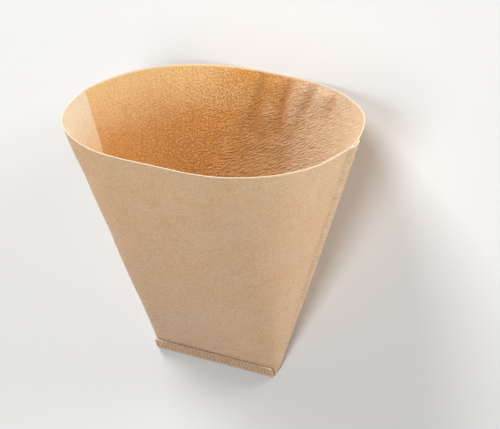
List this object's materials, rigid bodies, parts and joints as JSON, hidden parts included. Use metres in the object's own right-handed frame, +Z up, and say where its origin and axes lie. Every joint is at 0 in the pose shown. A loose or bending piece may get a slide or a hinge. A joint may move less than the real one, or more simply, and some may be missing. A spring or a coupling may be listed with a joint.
{
  "type": "paper coffee filter",
  "caption": "Cone-shaped paper coffee filter with crimped side and bottom seams, opened to an oval mouth, to hold ground coffee.",
  "frame": {"origin": "centre of the filter's box on the surface that it lies on", "axes": "+X runs along the mouth's length towards the crimped side seam, +Y from the bottom seam towards the mouth along the back wall that it lies on, +Z up"},
  "size_m": [0.1157, 0.1168, 0.0894],
  "materials": {
    "kraft_paper": "matte, unbleached, finely creped"
  },
  "bodies": {
    "root": {"filter_paper": "kraft_paper"}
  },
  "joints": []
}
